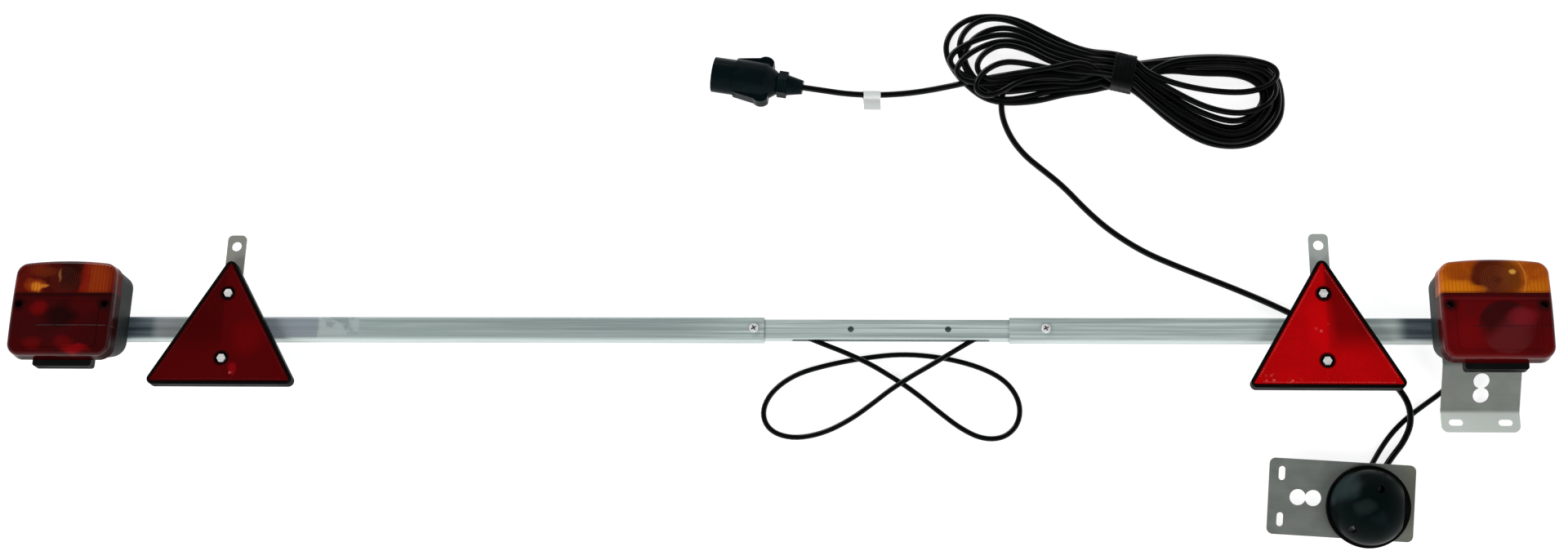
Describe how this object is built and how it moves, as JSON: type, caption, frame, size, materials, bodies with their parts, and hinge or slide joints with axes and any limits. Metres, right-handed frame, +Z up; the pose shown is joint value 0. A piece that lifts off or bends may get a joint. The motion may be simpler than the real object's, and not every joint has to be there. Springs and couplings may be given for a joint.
{
  "type": "trailer lighting board",
  "caption": "Telescopic trailer lighting board: rear lamps, triangular reflectors, a number-plate lamp on a slotted plate and a cable with plug, laid flat.",
  "frame": {"origin": "on the floor below the middle of the laid-out board, without its free cables", "axes": "+X along the bar from the left lamp to the right lamp, +Y towards the strap tips, +Z up out of the lenses"},
  "size_m": [1.563, 0.586, 0.0812],
  "materials": {
    "zinc_tube": "zinc plated, lengthwise streaks",
    "zinc_sheet": "matt zinc",
    "bright_screw": "bright zinc",
    "black_plastic": "satin",
    "hood_plastic": "semi-gloss",
    "plug_plastic": "satin",
    "white_plastic": "satin",
    "amber_lens": "clear coloured moulding with rings",
    "red_lens": "clear coloured moulding with prisms",
    "reflector_red": "cellular reflector",
    "clear_plastic": "clear",
    "bulb": "clear bulb on a metal cap",
    "rubber": "matt",
    "cable": "soft gloss sheath",
    "brass_pin": "bright",
    "tag_plastic": "blank white"
  },
  "bodies": {
    "right_arm": {"cord_hank": "cable", "cord_tag": "tag_plastic", "hank_tie": "plug_plastic", "lamp_bracket": "zinc_sheet", "lamp_plate": "zinc_sheet", "link_cord": "cable", "plate_lamp_base": "black_plastic", "plate_lamp_bolts": "bright_screw", "plate_lamp_bulb": "bulb", "plate_lamp_grommets": "rubber", "plate_lamp_hood": "hood_plastic", "plate_lamp_screws": "bright_screw", "plate_lamp_window": "clear_plastic", "plug_body": "plug_plastic", "plug_gland": "plug_plastic", "plug_insert": "plug_plastic", "plug_lead": "cable", "plug_pins": "brass_pin", "right_amber_lens": "amber_lens", "right_bulb_carrier": "white_plastic", "right_clamp_screw": "bright_screw", "right_indicator_bulb": "bulb", "right_inner_cable": "cable", "right_lamp_base": "black_plastic", "right_lamp_bolts": "bright_screw", "right_lamp_gasket": "rubber", "right_lamp_grommets": "rubber", "right_lens_screws": "bright_screw", "right_plate_window": "clear_plastic", "right_red_lens": "red_lens", "right_reflector_back": "black_plastic", "right_reflector_lens": "reflector_red", "right_reflector_screws": "bright_screw", "right_strap": "zinc_sheet", "right_strap_rivets": "bright_screw", "right_tail_bulb": "bulb", "right_tube": "zinc_tube", "tail_cord": "cable"},
    "centre_bar": {"centre_tube": "zinc_tube", "slack_loop": "cable"},
    "left_arm": {"left_amber_lens": "amber_lens", "left_bulb_carrier": "white_plastic", "left_clamp_screw": "bright_screw", "left_indicator_bulb": "bulb", "left_inner_cable": "cable", "left_lamp_base": "black_plastic", "left_lamp_bolts": "bright_screw", "left_lamp_gasket": "rubber", "left_lamp_grommets": "rubber", "left_lens_screws": "bright_screw", "left_plate_window": "clear_plastic", "left_red_lens": "red_lens", "left_reflector_back": "black_plastic", "left_reflector_lens": "reflector_red", "left_reflector_screws": "bright_screw", "left_strap": "zinc_sheet", "left_strap_rivets": "bright_screw", "left_tail_bulb": "bulb", "left_tube": "zinc_tube"}
  },
  "joints": [
    {"name": "right_telescope", "type": "slide", "parent": "right_arm", "child": "centre_bar", "axis": [-1, 0, 0], "range_m": [0, 0.2]},
    {"name": "left_telescope", "type": "slide", "parent": "centre_bar", "child": "left_arm", "axis": [-1, 0, 0], "range_m": [0, 0.2]}
  ]
}
